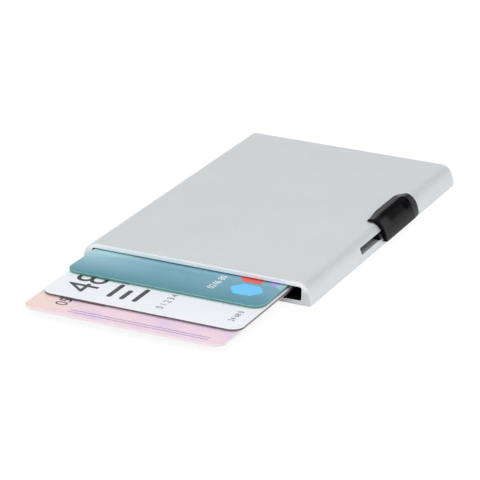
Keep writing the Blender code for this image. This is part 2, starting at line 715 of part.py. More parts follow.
def make_stepped_pusher(material, axis):
    """Staircase behind the cards, one step to a card, with a tab that laps onto the arm."""
    foot = FLOOR_WALL + PUSHER_CLEARANCE
    rear = MOUTH + PUSHER_REAR
    face = MOUTH + PUSHER_FACE
    profile = [(face, foot)]
    for level in range(LEVEL_COUNT):
        step_face = face + level * STEP_DEPTH
        if level > 0:
            profile.append((step_face, level_top(level - 1)))
        profile.append((step_face, level_top(level)))
    profile += [(rear, level_top(LEVEL_COUNT - 1)), (rear, foot)]
    left = BAY_LEFT + PUSHER_SIDE_GAP
    right = GUIDE_LEFT - PUSHER_SIDE_GAP
    ends = [[Vector((x, y, z)) for y, z in profile] for x in (left, right)]
    pusher = add_object("stepped_pusher", loft(ends), material, axis)

    tab_front = MOUTH + LAP_FRONT
    root_front = face + (LEVEL_COUNT - 1) * STEP_DEPTH + LAP_GAP
    tab_rear = rear - LAP_GAP
    tab = ((ARM_RIGHT, tab_front), (ARM_RIGHT, tab_rear), (right - OVERRUN, tab_rear),
           (right - OVERRUN, root_front), (ARM_LEFT, root_front), (ARM_LEFT, tab_front))
    tab_faces = [[Vector((x, y, z)) for x, y in tab] for z in (LAP_HEIGHT, ARM_TOP)]
    boolean(pusher, "join_tab", loft(tab_faces), "UNION")
    boolean(pusher, "cut_pusher_groove",
            spring_tail_groove(face - OVERRUN, rear + OVERRUN))

    pitch = (right - left - CORE_WALL) / CORE_COUNT
    core_front = rear - CORE_DEPTH
    core_top = level_top(LEVEL_COUNT - 2) - CORE_SKIN
    for index in range(CORE_COUNT):
        core_left = left + CORE_WALL + pitch * index
        low = (core_left, core_front, foot - OVERRUN)
        high = (core_left + pitch - CORE_WALL, rear - CORE_SKIN, core_top)
        boolean(pusher, f"cut_core_{index + 1}", block(low, high))
    for name, y in pin_places():
        start = (PIN_X, y, LAP_HEIGHT - OVERRUN)
        length = ARM_TOP - LAP_HEIGHT + 2 * OVERRUN
        hole = cylinder(start, (0, 0, 1), length, PIN_RADIUS + PIN_CLEARANCE)
        boolean(pusher, f"cut_tab_pin_{name}", hole)
    return pusher


def make_card(level, name, reach_out, shift, material):
    """A plastic card of the standard size, on its own slide inside the case."""
    left = BAY_LEFT + shift
    front = MOUTH - reach_out
    foot = FLOOR_WALL + SPRING_ROOM + level * LEVEL_PITCH
    outline = rounded_rectangle((left, front), (left + CARD_WIDTH, front + CARD_LENGTH),
                                CARD_CORNER, CARD_ARC_STEPS)
    axis = make_axis(f"{name}_slide", Vector((left + CARD_WIDTH / 2, MOUTH, foot)))
    shape = loft([[Vector((x, y, z)) for x, y in outline] for z in (foot, foot + CARD_THICKNESS)])
    return add_object(name, shape, material, axis)


clear_scene()
anodised = make_material("anodised_aluminium", (0.62, 0.63, 0.64), 0.42, 1.0)
black_abs = make_material("black_abs", (0.028, 0.028, 0.032), 0.46)
acetal = make_material("black_acetal", (0.018, 0.018, 0.019), 0.38)
spring_steel = make_material("spring_steel", (0.55, 0.54, 0.52), 0.28, 1.0)
card_pvc = {
    "card_bottom": make_material("rose_card_pvc", (0.84, 0.68, 0.70), 0.35),
    "card_middle": make_material("white_card_pvc", (0.84, 0.86, 0.88), 0.35),
    "card_top": make_material("teal_card_pvc", (0.24, 0.42, 0.47), 0.30),
}

make_case_sleeve(anodised)
make_rear_plug(black_abs)
for screw_side, screw_place in screw_places():
    make_screw(screw_side, screw_place, spring_steel)
make_lane_guide(acetal)
make_card_spring(spring_steel)

slide_axis = make_axis("thumb_slide", Vector((HALF_WIDTH, MOUTH + GRIP_START + GRIP_LENGTH / 2,
                                              SLOT_MIDDLE)))
make_thumb_grip(black_abs, slide_axis)
make_pusher_arm(acetal, slide_axis)
make_stepped_pusher(acetal, slide_axis)
make_friction_leaf(spring_steel, slide_axis)
for pin_name, pin_y in pin_places():
    make_arm_pin(pin_name, pin_y, spring_steel, slide_axis)
for card_level, (card_name, card_out, card_shift) in enumerate(CARDS):
    make_card(card_level, card_name, card_out, card_shift, card_pvc[card_name])
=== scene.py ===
"""The looks of a flat aluminium card case with a thumb slide, built around its CAD frame.

Metres, +Z up. The mouth faces -Y, the thumb grip is on the +X side, and the case lies on Z = 0.
"""
import math

import bmesh
import bpy
from mathutils import Matrix, Vector


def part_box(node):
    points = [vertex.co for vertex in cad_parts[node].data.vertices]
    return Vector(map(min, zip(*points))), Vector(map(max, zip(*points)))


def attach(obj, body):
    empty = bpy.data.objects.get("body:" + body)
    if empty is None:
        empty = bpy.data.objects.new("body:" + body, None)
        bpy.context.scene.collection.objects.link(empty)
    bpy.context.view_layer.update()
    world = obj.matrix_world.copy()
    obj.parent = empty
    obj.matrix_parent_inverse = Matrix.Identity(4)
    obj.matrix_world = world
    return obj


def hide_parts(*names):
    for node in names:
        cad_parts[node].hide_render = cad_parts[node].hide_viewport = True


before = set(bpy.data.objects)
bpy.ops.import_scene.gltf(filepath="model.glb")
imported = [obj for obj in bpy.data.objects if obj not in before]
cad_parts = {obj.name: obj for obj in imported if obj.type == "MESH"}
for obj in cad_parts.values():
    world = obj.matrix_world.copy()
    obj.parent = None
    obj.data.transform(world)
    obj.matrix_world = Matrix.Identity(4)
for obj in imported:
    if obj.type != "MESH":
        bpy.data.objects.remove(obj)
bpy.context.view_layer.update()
scene = bpy.context.scene

# Camera: stands where the photograph was taken, in front of the mouth and to its right, 21 degrees
# above the table and 0.7 m away. The long lens keeps the long sides almost parallel, and a slight
# roll tips the table as in the photograph.
VIEW_AZIMUTH = math.radians(24.21)
VIEW_ELEVATION = math.radians(20.93)
VIEW_ROLL = math.radians(1.43)
VIEW_DISTANCE = 0.69486
VIEW_AIM = Vector((0.0, -0.02331, 0.0030))
LENS_MM = 199.5
SENSOR_MM = 36.0
NEAREST_SEEN = 0.01

view_back = Vector((math.sin(VIEW_AZIMUTH) * math.cos(VIEW_ELEVATION),
                    -math.cos(VIEW_AZIMUTH) * math.cos(VIEW_ELEVATION),
                    math.sin(VIEW_ELEVATION)))
view_right = Vector((math.cos(VIEW_AZIMUTH), math.sin(VIEW_AZIMUTH), 0))
view_up = view_back.cross(view_right)
view_turn = Matrix((view_right, view_up, view_back)).transposed()
view_turn = view_turn @ Matrix.Rotation(VIEW_ROLL, 3, "Z")
camera = bpy.data.objects.new("camera", bpy.data.cameras.new("camera"))
camera.data.lens = LENS_MM
camera.data.sensor_width = SENSOR_MM
camera.data.clip_start = NEAREST_SEEN
camera.matrix_world = Matrix.LocRotScale(VIEW_AIM + view_back * VIEW_DISTANCE, view_turn, None)
scene.collection.objects.link(camera)
scene.camera = camera
scene.view_settings.view_transform = "Standard"

# Studio: a pale table top under soft lamps. The camera sees plain white; metal and gloss see white
# walls, a dark gap above them and the white canopy overhead. The case still throws a faint shadow
# on the table, which is clear from below so that the underside can be looked at.
ROOM_WHITE = "#FFFFFF"
ROOM_LEVEL = 0.52
WALL_TOP_SHARE = 0.30
GAP_START_SHARE = 0.36
GAP_LEVEL = 0.02
GAP_END_SHARE = 0.60
CANOPY_SHARE = 0.70
CANOPY_LEVEL = 0.8
TABLE_COLOUR = "#E4E6E8"
TABLE_HALF = 1.5
TABLE_GLOW_SHARE = 0.88
TABLE_SHADE_COLOUR = "#6C6E72"
# Each soft box: its place, its width and its watts.
SOFT_BOXES = {
    "overhead_soft_box": ((-0.10, 0.05, 0.90), 1.30, 4.2),
    "front_left_soft_box": ((-0.30, -0.90, 0.50), 1.20, 5.4),
    "right_soft_box": ((0.85, -0.15, 0.40), 0.90, 2.5),
}


def linear(hex_code):
    """An sRGB hex colour as the linear colour that the shaders work in."""
    shares = [int(hex_code[start:start + 2], 16) / 255 for start in (1, 3, 5)]
    return [share / 12.92 if share <= 0.04045 else ((share + 0.055) / 1.055) ** 2.4
            for share in shares] + [1.0]


def add_node(tree, kind, inputs=None, **settings):
    """Add a node with its settings, and give its inputs values or links.

    A link is named by the socket that it comes from, or by a node for that node's first output.
    """
    node = tree.nodes.new(kind)
    for name, value in settings.items():
        setattr(node, name, value)
    for name, value in (inputs or {}).items():
        if isinstance(value, bpy.types.Node):
            value = value.outputs[0]
        if isinstance(value, bpy.types.NodeSocket):
            tree.links.new(value, node.inputs[name])
        else:
            node.inputs[name].default_value = value
    return node


def seen_directly(tree):
    """1 for what is seen in metal, gloss or glass, and 1 for that and what the camera sees."""
    path = add_node(tree, "ShaderNodeLightPath").outputs
    mirrored = add_node(tree, "ShaderNodeMath", {0: path["Is Glossy Ray"],
                                                 1: path["Is Transmission Ray"]},
                        operation="MAXIMUM")
    seen = add_node(tree, "ShaderNodeMath", {0: path["Is Camera Ray"], 1: mirrored},
                    operation="MAXIMUM")
    return mirrored, seen


room = bpy.data.worlds.new("white_room")
room.use_nodes = True
scene.world = room
tree = room.node_tree
tree.nodes.clear()
in_gloss, in_view = seen_directly(tree)
heading = add_node(tree, "ShaderNodeTexCoord")
rise = add_node(tree, "ShaderNodeSeparateXYZ", {0: heading.outputs["Generated"]})
walls_seen = add_node(tree, "ShaderNodeMapRange", {0: rise.outputs[2], 1: WALL_TOP_SHARE,
                                                   2: GAP_START_SHARE, 3: 1.0, 4: GAP_LEVEL})
canopy_seen = add_node(tree, "ShaderNodeMapRange", {0: rise.outputs[2], 1: GAP_END_SHARE,
                                                    2: CANOPY_SHARE, 4: CANOPY_LEVEL})
mirrored_room = add_node(tree, "ShaderNodeMath", {0: walls_seen, 1: canopy_seen},
                         operation="MAXIMUM")
mirror_level = add_node(tree, "ShaderNodeMix", {0: in_gloss, 2: 1.0, 3: mirrored_room})
level = add_node(tree, "ShaderNodeMix", {0: in_view, 2: ROOM_LEVEL, 3: mirror_level})
room_light = add_node(tree, "ShaderNodeBackground", {"Color": linear(ROOM_WHITE),
                                                     "Strength": level})
add_node(tree, "ShaderNodeOutputWorld", {"Surface": room_light})

table_paint = bpy.data.materials.new("white_laminate_table")
table_paint.use_nodes = True
tree = table_paint.node_tree
tree.nodes.clear()
matt = add_node(tree, "ShaderNodeBsdfDiffuse", {"Color": linear(TABLE_COLOUR)})
shade = add_node(tree, "ShaderNodeBsdfDiffuse", {"Color": linear(TABLE_SHADE_COLOUR)})
glow = add_node(tree, "ShaderNodeEmission", {"Color": linear(ROOM_WHITE),
                                             "Strength": TABLE_GLOW_SHARE})
lit = add_node(tree, "ShaderNodeAddShader", {0: shade, 1: glow})
top = add_node(tree, "ShaderNodeMixShader", {0: seen_directly(tree)[1], 1: matt, 2: lit})
side = add_node(tree, "ShaderNodeNewGeometry")
clear = add_node(tree, "ShaderNodeBsdfTransparent")
table_mix = add_node(tree, "ShaderNodeMixShader", {0: side.outputs["Backfacing"], 1: top,
                                                   2: clear})
add_node(tree, "ShaderNodeOutputMaterial", {"Surface": table_mix})

table_mesh = bpy.data.meshes.new("table")
table_mesh.from_pydata([(-TABLE_HALF, -TABLE_HALF, 0), (TABLE_HALF, -TABLE_HALF, 0),
                        (TABLE_HALF, TABLE_HALF, 0), (-TABLE_HALF, TABLE_HALF, 0)],
                       [], [(0, 1, 2, 3)])
table_mesh.materials.append(table_paint)
table = bpy.data.objects.new("table", table_mesh)
scene.collection.objects.link(table)

# The soft boxes are square and face the middle of the case.
for name, (place, width, watts) in SOFT_BOXES.items():
    lamp = bpy.data.objects.new(name, bpy.data.lights.new(name, "AREA"))
    lamp.data.size = width
    lamp.data.energy = watts
    place = Vector(place)
    lamp.matrix_world = Matrix.LocRotScale(place, place.to_track_quat("Z", "Y"), None)
    scene.collection.objects.link(lamp)

# Case sleeve: one aluminium extrusion, open at both ends, flat above and below with bowed sides.
# The slot for the slide is milled through its right wall and its ends are faced off. The outside
# is bead-blasted and clear-anodised. The bay and the slot are painted darker as painted shade, and
# the ends pale as a painted highlight, with painted shade towards their bottom.
SIDE_BOW = 0.0035
SIDE_BOW_FOOT = 0.0009
FOOT_CORNER = 0.0005
FLOOR_WALL = 0.00125
ROOF_WALL = 0.00125
SIDE_WALL = 0.0028
BAY_CORNER = 0.0005
EDGE_BREAK = 0.00025
SLOT_START = 0.0335
SLOT_LENGTH = 0.0315
SLOT_HEIGHT = 0.00165
SLOT_RISE = 0.0003
SLOT_CORNER = 0.0003
SLOT_CHAMFER = 0.00007
CUT_OVERRUN = 0.0010
BAY_TOLERANCE = EDGE_BREAK / 8
END_TOLERANCE = EDGE_BREAK / 100
CORNER_STEPS = 8
BOW_STEPS = 28
SHARP_ANGLE = math.radians(30)
# Most of a noise lies between these two, which are stretched to the full run of a tone.
GRAIN_FLOOR = 0.3
GRAIN_CEILING = 0.7
BLAST_GRAIN = 0.00028
BLAST_CLOUD = 0.014
BLAST_CLOUD_SHARE = 0.22
BLAST_DEPTH = 0.000012
BLAST_BUMP = 0.45
BLAST_ROUGHNESS = (0.48, 0.56)
BLAST_METALLIC = 0.55
ALUMINIUM_DARK = "#D6DADD"
ALUMINIUM_LIGHT = "#E0E4E7"
DIE_LINE_WIDTH = 0.00015
DIE_LINE_LENGTH = 0.02
BAY_ROUGHNESS = (0.36, 0.48)
# Painted shade: the bay's dark tones stand in for the shade deep inside the bay.
BAY_DARK = "#464A4D"
BAY_LIGHT = "#5C6164"
CUTTER_PITCH = 0.00018
CUT_ROUGHNESS = (0.44, 0.54)
CUT_METALLIC = 0.25
# Painted shade: the slot's grey tones stand in for the shade inside the slot; the lighter one is
# also painted low in the slot as painted light.
SLOT_DARK = "#8F9396"
SLOT_LIGHT = "#A2A6A9"
# Painted light: the pale end tones stand in for light on the faced ends; the low tone below them is
# painted shade towards their bottom.
END_DARK = "#E8EBED"
END_LIGHT = "#F2F4F6"
END_LOW = "#CACED1"
END_LOW_RISE = 0.0032
END_HIGH_RISE = 0.0048

sleeve_low, sleeve_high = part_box("case_sleeve")
HALF_WIDTH = sleeve_high.x
CASE_HEIGHT = sleeve_high.z
MOUTH = sleeve_low.y
REAR = sleeve_high.y


def arc(middle, radii, start, stop, steps):
    """Points of an elliptic arc in a plane, between two angles in degrees."""
    points = []
    for index in range(steps + 1):
        angle = math.radians(start + (stop - start) * index / steps)
        points.append((middle[0] + radii[0] * math.cos(angle),
                       middle[1] + radii[1] * math.sin(angle)))
    return points


def rounded_rectangle(near, far, radius, steps):
    """A rectangle with round corners, from the middles of two opposite corners' arcs."""
    radii = (radius, radius)
    return (arc((far[0], near[1]), radii, -90, 0, steps) + arc(far, radii, 0, 90, steps)
            + arc((near[0], far[1]), radii, 90, 180, steps) + arc(near, radii, 180, 270, steps))


def mirrored(right_half):
    """A closed outline from its right half, which runs from the bottom up."""
    return right_half + [(-across, up) for across, up in reversed(right_half)]


def outer_section(inset):
    """The sleeve's outline, drawn in by an inset."""
    half = HALF_WIDTH - inset
    foot = arc((half - FOOT_CORNER, inset + FOOT_CORNER), (FOOT_CORNER, FOOT_CORNER), -90, 0,
               CORNER_STEPS)
    bow = arc((half - SIDE_BOW, SIDE_BOW_FOOT), (SIDE_BOW, CASE_HEIGHT - inset - SIDE_BOW_FOOT),
              0, 90, BOW_STEPS)
    return mirrored(foot + bow)


def bay_section(grow):
    """The outline of the sleeve's inside, let out by a little towards the ends."""
    half = HALF_WIDTH - SIDE_WALL + grow
    radius = BAY_CORNER + grow
    low = arc((half - radius, FLOOR_WALL - grow + radius), (radius, radius), -90, 0, CORNER_STEPS)
    high = arc((half - radius, CASE_HEIGHT - ROOF_WALL + grow - radius), (radius, radius), 0, 90,
               BOW_STEPS)
    return mirrored(low + high)


def rounding(width, steps):
    """Depth and inset along a rounded edge, from the end face to the full section."""
    angles = [math.pi / 2 * index / steps for index in range(steps + 1)]
    return [(width * (1 - math.cos(angle)), width * (1 - math.sin(angle))) for angle in angles]


def skin(rings, ends="capped"):
    """Quads between closed rings of equal counts; the ends are capped or joined to each other."""
    shape = bmesh.new()
    rows = [[shape.verts.new(point) for point in ring] for ring in rings]
    pairs = list(zip(rows, rows[1:]))
    if ends == "joined":
        pairs.append((rows[-1], rows[0]))
    else:
        shape.faces.new(list(reversed(rows[0])))
        shape.faces.new(rows[-1])
    count = len(rows[0])
    for near, far in pairs:
        for index in range(count):
            after = (index + 1) % count
            shape.faces.new((near[index], near[after], far[after], far[index]))
    return shape


def add_mesh(name, shape):
    """Turn a finished bmesh into an object, with its faces pointing out."""
    bmesh.ops.recalc_face_normals(shape, faces=shape.faces)
    mesh = bpy.data.meshes.new(name)
    shape.to_mesh(mesh)
    shape.free()
    piece = bpy.data.objects.new(name, mesh)
    scene.collection.objects.link(piece)
    return piece


def keep_result(piece):
    """Keep what a piece's modifiers make of it as its plain mesh."""
    depsgraph = bpy.context.evaluated_depsgraph_get()
    result = bpy.data.meshes.new_from_object(piece.evaluated_get(depsgraph))
    piece.modifiers.clear()
    piece.data = result


def combine(piece, shape, operation="DIFFERENCE"):
    """Cut a shape out of a piece, or join it on."""
    tool = add_mesh("tool", shape)
    modifier = piece.modifiers.new("combine", "BOOLEAN")
    modifier.operation = operation
    modifier.solver = "EXACT"
    modifier.object = tool
    keep_result(piece)
    bpy.data.objects.remove(tool)


def finish_piece(piece, material, body, slot, *replaced):
    """Shade a piece smooth between crisp edges, give it its finish and hang it on its body."""
    if material is not None:
        piece.data.materials.clear()
        piece.data.materials.append(material)
    piece.data.shade_smooth()
    piece.data.set_sharp_from_angle(angle=SHARP_ANGLE)
    weighted = piece.modifiers.new("flat_faces_stay_flat", "WEIGHTED_NORMAL")
    weighted.keep_sharp = True
    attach(piece, body)
    if replaced:
        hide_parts(*replaced)


def side_reach(height):
    """How far out the bowed side lies at a height."""
    share = max(height - SIDE_BOW_FOOT, 0) / (CASE_HEIGHT - SIDE_BOW_FOOT)
    return HALF_WIDTH - SIDE_BOW + SIDE_BOW * math.sqrt(max(1 - share ** 2, 0))


def slot_outline(grow):
    """The slot's rounded rectangle, as distances along the case and heights."""
    start = MOUTH + SLOT_START - grow
    stop = MOUTH + SLOT_START + SLOT_LENGTH + grow
    middle = CASE_HEIGHT / 2 + SLOT_RISE
    low = middle - SLOT_HEIGHT / 2 - grow
    high = middle + SLOT_HEIGHT / 2 + grow
    radius = SLOT_CORNER + grow
    return rounded_rectangle((start + radius, low + radius), (stop - radius, high - radius),
                             radius, CORNER_STEPS)


def start_material(name):
    """A new material with only a Principled shader, and a node that gives places on the piece."""
    material = bpy.data.materials.new(name)
    material.use_nodes = True
    tree = material.node_tree
    tree.nodes.clear()
    shader = add_node(tree, "ShaderNodeBsdfPrincipled")
    add_node(tree, "ShaderNodeOutputMaterial", {"Surface": shader})
    places = add_node(tree, "ShaderNodeTexCoord")
    return material, tree, shader, places.outputs["Object"]


# Wrought aluminium, bead-blasted and clear-anodised: an even silvery sheen without a mirror image,
# with a grain that is drawn twice as coarse as the real one so that it shows at all.
anodised, tree, shader, places = start_material("blasted_anodised_aluminium")
grain = add_node(tree, "ShaderNodeTexNoise", {"Vector": places, "Scale": 1 / BLAST_GRAIN})
cloud = add_node(tree, "ShaderNodeTexNoise", {"Vector": places, "Scale": 1 / BLAST_CLOUD})
clouded = add_node(tree, "ShaderNodeMix", {0: BLAST_CLOUD_SHARE, 2: grain, 3: cloud})
share = add_node(tree, "ShaderNodeMapRange", {0: clouded, 1: GRAIN_FLOOR, 2: GRAIN_CEILING})
metal = add_node(tree, "ShaderNodeMix", {0: share, 6: linear(ALUMINIUM_DARK),
                                         7: linear(ALUMINIUM_LIGHT)}, data_type="RGBA")
dullness = add_node(tree, "ShaderNodeMapRange", {0: grain, 1: GRAIN_FLOOR, 2: GRAIN_CEILING,
                                                 3: BLAST_ROUGHNESS[0], 4: BLAST_ROUGHNESS[1]})
blast = add_node(tree, "ShaderNodeBump", {"Height": grain, "Distance": BLAST_DEPTH,
                                          "Strength": BLAST_BUMP})
tree.links.new(metal.outputs[2], shader.inputs["Base Color"])
tree.links.new(dullness.outputs[0], shader.inputs["Roughness"])
tree.links.new(blast.outputs[0], shader.inputs["Normal"])
shader.inputs["Metallic"].default_value = BLAST_METALLIC


def grained_finish(tree, shader, places, size, tones, roughness, detail=2.0):
    """Let a grain of a real size in metres vary a surface's tone and roughness between pairs."""
    grain = add_node(tree, "ShaderNodeTexNoise", {"Vector": places, "Scale": 1 / size,
                                                  "Detail": detail})
    share = add_node(tree, "ShaderNodeMapRange", {0: grain, 1: GRAIN_FLOOR, 2: GRAIN_CEILING})
    colour = add_node(tree, "ShaderNodeMix", {0: share, 6: linear(tones[0]), 7: linear(tones[1])},
                      data_type="RGBA")
    dullness = add_node(tree, "ShaderNodeMapRange", {0: grain, 1: GRAIN_FLOOR, 2: GRAIN_CEILING,
                                                     3: roughness[0], 4: roughness[1]})
    tree.links.new(colour.outputs[2], shader.inputs["Base Color"])
    tree.links.new(dullness.outputs[0], shader.inputs["Roughness"])
    return grain, colour.outputs[2]


# The bay's walls are painted dull and dark grey, which is painted shade deep in the bay, with fine
# die lines that run along the case.
bay_painted_shade, tree, shader, places = start_material("bay_aluminium_painted_shade")
drawn_out = add_node(tree, "ShaderNodeMapping",
                     {"Vector": places, "Scale": (1.0, DIE_LINE_WIDTH / DIE_LINE_LENGTH, 1.0)})
grained_finish(tree, shader, drawn_out, DIE_LINE_WIDTH, (BAY_DARK, BAY_LIGHT), BAY_ROUGHNESS)
shader.inputs["Metallic"].default_value = 1.0


def cut_aluminium(name, dark, light, low):
    """Aluminium anodised over the cutter's fine upright lines, with another tone painted towards
    the
    bottom: painted shade on the ends, and a lighter tone as painted light in the slot.
    """
    material, tree, shader, places = start_material(name)
    upright = add_node(tree, "ShaderNodeMapping",
                       {"Vector": places, "Scale": (1.0, 1.0, CUTTER_PITCH / DIE_LINE_LENGTH)})
    tone = grained_finish(tree, shader, upright, CUTTER_PITCH, (dark, light), CUT_ROUGHNESS)[1]
    height = add_node(tree, "ShaderNodeSeparateXYZ", {0: places})
    high = add_node(tree, "ShaderNodeMapRange", {0: height.outputs[2], 1: END_LOW_RISE,
                                                 2: END_HIGH_RISE})
    painted_by_height = add_node(tree, "ShaderNodeMix", {0: high, 6: linear(low), 7: tone},
                        data_type="RGBA")
    tree.links.new(painted_by_height.outputs[2], shader.inputs["Base Color"])
    shader.inputs["Metallic"].default_value = CUT_METALLIC
    return material


# The slot's faces are painted a deeper grey as painted shade, lighter towards the bottom as painted
# light; the ends are painted pale as a painted highlight, with painted shade towards the bottom.
slot_painted_shade = cut_aluminium("slot_aluminium_painted_shade", SLOT_DARK, SLOT_LIGHT, SLOT_LIGHT)
ends_painted_light_and_shade = cut_aluminium("end_aluminium_painted_light_and_shade", END_DARK, END_LIGHT, END_LOW)

edge = rounding(EDGE_BREAK, CORNER_STEPS)
edge_back = list(reversed(edge))
walls = [(outer_section(inset), MOUTH + depth) for depth, inset in edge]
walls += [(outer_section(inset), REAR - depth) for depth, inset in edge_back]
walls += [(bay_section(grow), REAR - depth) for depth, grow in edge]
walls += [(bay_section(grow), MOUTH + depth) for depth, grow in edge_back]
sleeve = add_mesh("case_shell", skin([[(across, along, up) for across, up in ring]
                                      for ring, along in walls], ends="joined"))

slot_rings = [[(HALF_WIDTH - SIDE_WALL - CUT_OVERRUN, along, up) for along, up in slot_outline(0)],
              [(side_reach(up) - SLOT_CHAMFER, along, up) for along, up in slot_outline(0)],
              [(side_reach(up) + SLOT_CHAMFER, along, up)
               for along, up in slot_outline(2 * SLOT_CHAMFER)],
              [(HALF_WIDTH + CUT_OVERRUN, along, up)
               for along, up in slot_outline(2 * SLOT_CHAMFER)]]
combine(sleeve, skin(slot_rings))

# Plug screws: two small countersunk steel screws from below, which hold the plug in the rear end.
# Their seats are countersunk into the sleeve's floor. A node tree makes the pair.
SCREW_SUNK = 0.0001
SCREW_HEAD_DEPTH = 0.0006
SCREW_HEAD_RADIUS = 0.0012
SCREW_RADIUS = 0.0006
SCREW_CLEARANCE = 0.00012
SCREW_SIDES = 48
RECESS_REACH = 0.0007
RECESS_WIDTH = 0.00028
RECESS_DEPTH = 0.00035
STEEL_DARK = "#A9A7A3"
STEEL_LIGHT = "#C4C2BE"
STEEL_ROUGHNESS = (0.22, 0.34)
ROLLING_WIDTH = 0.0002
ROLLING_LENGTH = 0.006

screw_low, screw_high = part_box("plug_screw_left")
screw_left = (screw_low + screw_high) / 2
screw_right = sum(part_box("plug_screw_right"), Vector()) / 2


def turned(place, profile):
    """An upright turned shape from a list of heights and radii."""
    angles = [math.tau * index / SCREW_SIDES for index in range(SCREW_SIDES)]
    return skin([[(place.x + radius * math.cos(angle), place.y + radius * math.sin(angle), height)
                  for angle in angles] for height, radius in profile])


seat = [(-CUT_OVERRUN, SCREW_HEAD_RADIUS + SCREW_CLEARANCE),
        (0, SCREW_HEAD_RADIUS + SCREW_CLEARANCE),
        (SCREW_SUNK + SCREW_HEAD_DEPTH, SCREW_RADIUS + SCREW_CLEARANCE),
        (FLOOR_WALL + CUT_OVERRUN, SCREW_RADIUS + SCREW_CLEARANCE)]
combine(sleeve, turned(screw_left, seat))
combine(sleeve, turned(screw_right, seat))

# Each of the sleeve's faces takes the finish of its place: outside, bay, slot or end. The bay,
# slot and end finishes hold painted shade and painted light.
sleeve.data.materials.clear()
for finish in (anodised, bay_painted_shade, slot_painted_shade, ends_painted_light_and_shade):
    sleeve.data.materials.append(finish)
for face in sleeve.data.polygons:
    place = face.center
    in_bay = (abs(place.x) < HALF_WIDTH - SIDE_WALL + BAY_TOLERANCE
              and FLOOR_WALL - BAY_TOLERANCE < place.z < CASE_HEIGHT - ROOF_WALL + BAY_TOLERANCE
              and MOUTH + EDGE_BREAK / 2 < place.y < REAR - EDGE_BREAK / 2)
    in_slot = (abs(place.z - CASE_HEIGHT / 2 - SLOT_RISE) < SLOT_HEIGHT / 2 + SLOT_CHAMFER / 2
               and HALF_WIDTH - SIDE_WALL < place.x < side_reach(place.z) - SLOT_CHAMFER / 2
               and MOUTH + SLOT_START / 2 < place.y < REAR - SLOT_START)
    at_end = min(place.y - MOUTH, REAR - place.y) < END_TOLERANCE
    face.material_index = 1 if in_bay else 2 if in_slot else 3 if at_end else 0
finish_piece(sleeve, None, "case", "anodised_aluminium", "case_sleeve")

# Rolled and drawn spring steel: bright and slightly brownish, with lines along its length that are
# drawn coarser than they are, so that they show.
steel, tree, shader, places = start_material("rolled_spring_steel")
stretch = add_node(tree, "ShaderNodeMapping",
                   {"Vector": places, "Scale": (1.0, ROLLING_WIDTH / ROLLING_LENGTH, 1.0)})
grained_finish(tree, shader, stretch, ROLLING_WIDTH, (STEEL_DARK, STEEL_LIGHT), STEEL_ROUGHNESS)
shader.inputs["Metallic"].default_value = 1.0


def start_geometry(name, sizes):
    """A Geometry Nodes tree with named inputs for its sizes; gives the tree and its inputs."""
    tree = bpy.data.node_groups.new(name, "GeometryNodeTree")
    for size_name in sizes:
        tree.interface.new_socket(size_name, in_out="INPUT", socket_type="NodeSocketFloat")
    tree.interface.new_socket("Geometry", in_out="OUTPUT", socket_type="NodeSocketGeometry")
    return tree, add_node(tree, "NodeGroupInput").outputs


def end_geometry(tree, geometry, material):
    """Make the tree's instances real, give them their material and send them out."""
    real = add_node(tree, "GeometryNodeRealizeInstances", {0: geometry})
    painted = add_node(tree, "GeometryNodeSetMaterial", {0: real, "Material": material})
    add_node(tree, "NodeGroupOutput", {0: painted})


def grow_piece(name, tree, sizes):
    """Run a tree with its sizes and keep what it makes as a plain mesh."""
    piece = bpy.data.objects.new(name, bpy.data.meshes.new(name))
    scene.collection.objects.link(piece)
    modifier = piece.modifiers.new(name, "NODES")
    modifier.node_group = tree
    for item in tree.interface.items_tree:
        if item.in_out == "INPUT":
            modifier[item.identifier] = sizes[item.name]
    keep_result(piece)
    return piece


screw_sizes = {
    "Left": screw_left.x, "Right": screw_right.x, "Along": screw_left.y, "Foot": screw_low.z,
    "Length": screw_high.z - screw_low.z, "Head Depth": SCREW_HEAD_DEPTH,
    "Head Radius": SCREW_HEAD_RADIUS, "Shank Radius": SCREW_RADIUS, "Recess Reach": RECESS_REACH,
    "Recess Width": RECESS_WIDTH, "Recess Depth": RECESS_DEPTH,
}
tree, size = start_geometry("countersunk_screws", screw_sizes)
head = add_node(tree, "GeometryNodeMeshCone",
                {"Vertices": SCREW_SIDES, "Radius Top": size["Shank Radius"],
                 "Radius Bottom": size["Head Radius"], "Depth": size["Head Depth"]})
shank = add_node(tree, "GeometryNodeMeshCone",
                 {"Vertices": SCREW_SIDES, "Radius Top": size["Shank Radius"],
                  "Radius Bottom": size["Shank Radius"], "Depth": size["Length"]})
body = add_node(tree, "GeometryNodeMeshBoolean", operation="UNION")
tree.links.new(head.outputs[0], body.inputs["Mesh 2"])
tree.links.new(shank.outputs[0], body.inputs["Mesh 2"])
depth = add_node(tree, "ShaderNodeMath", {0: size["Recess Depth"], 1: 2.0}, operation="MULTIPLY")
recessed = body
for reach_x, reach_y in (("Recess Reach", "Recess Width"), ("Recess Width", "Recess Reach")):
    wing_size = add_node(tree, "ShaderNodeCombineXYZ", {0: size[reach_x], 1: size[reach_y],
                                                        2: depth})
    wing = add_node(tree, "GeometryNodeMeshCube", {"Size": wing_size})
    recessed = add_node(tree, "GeometryNodeMeshBoolean", {"Mesh 1": recessed, "Mesh 2": wing},
                        operation="DIFFERENCE")
left_place = add_node(tree, "ShaderNodeCombineXYZ", {0: size["Left"], 1: size["Along"],
                                                     2: size["Foot"]})
right_place = add_node(tree, "ShaderNodeCombineXYZ", {0: size["Right"], 1: size["Along"],
                                                      2: size["Foot"]})
row = add_node(tree, "GeometryNodeMeshLine", {"Count": 2, "Start Location": left_place,
                                              "Offset": right_place}, mode="END_POINTS")
pair = add_node(tree, "GeometryNodeInstanceOnPoints", {"Points": row, "Instance": recessed})
end_geometry(tree, pair, steel)
